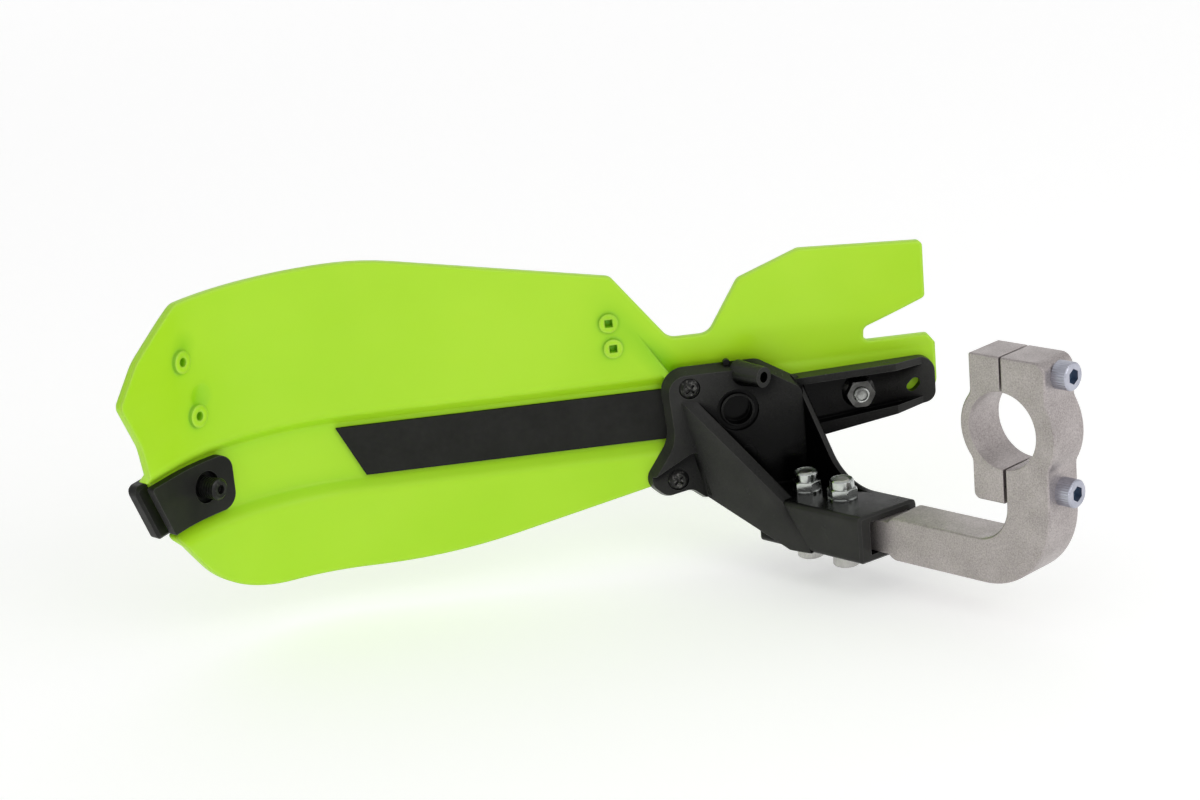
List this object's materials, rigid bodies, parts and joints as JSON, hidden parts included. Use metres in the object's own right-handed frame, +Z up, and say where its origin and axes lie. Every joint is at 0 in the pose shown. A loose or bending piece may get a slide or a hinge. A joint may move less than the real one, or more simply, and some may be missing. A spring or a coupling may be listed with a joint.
{
  "type": "motorcycle hand guard",
  "caption": "Left-hand motorcycle hand guard: a bent moulded shell on a webbed plastic bracket, carried by an aluminium arm with a split handlebar clamp.",
  "frame": {"origin": "centre of the handlebar bore, in the middle of the clamp's width", "axes": "+X along the handlebar, inboard; +Y forward; +Z up"},
  "size_m": [0.2812, 0.2686, 0.1302],
  "materials": {
    "shell_plastic": "satin moulded, lime green",
    "strip_rubber": "matt black",
    "bracket_plastic": "satin black nylon",
    "clamp_aluminium": "tumbled, fine grain",
    "zinc_steel": "zinc plated",
    "bright_steel": "bright zinc plated",
    "insert_nylon": "smooth nylon",
    "black_steel": "black oxide"
  },
  "bodies": {
    "root": {"guard_shell": "shell_plastic", "channel_strip": "strip_rubber", "mount_bracket": "bracket_plastic", "clamp_arm": "clamp_aluminium", "clamp_cap": "clamp_aluminium", "clamp_bolts": "zinc_steel", "socket_bolts": "zinc_steel", "socket_nuts": "bright_steel", "nut_inserts": "insert_nylon", "base_screws": "black_steel", "rail_bolt": "bright_steel", "rail_nut": "black_steel", "end_bumper": "bracket_plastic", "end_plate": "bracket_plastic", "end_bolt": "black_steel"}
  },
  "joints": []
}
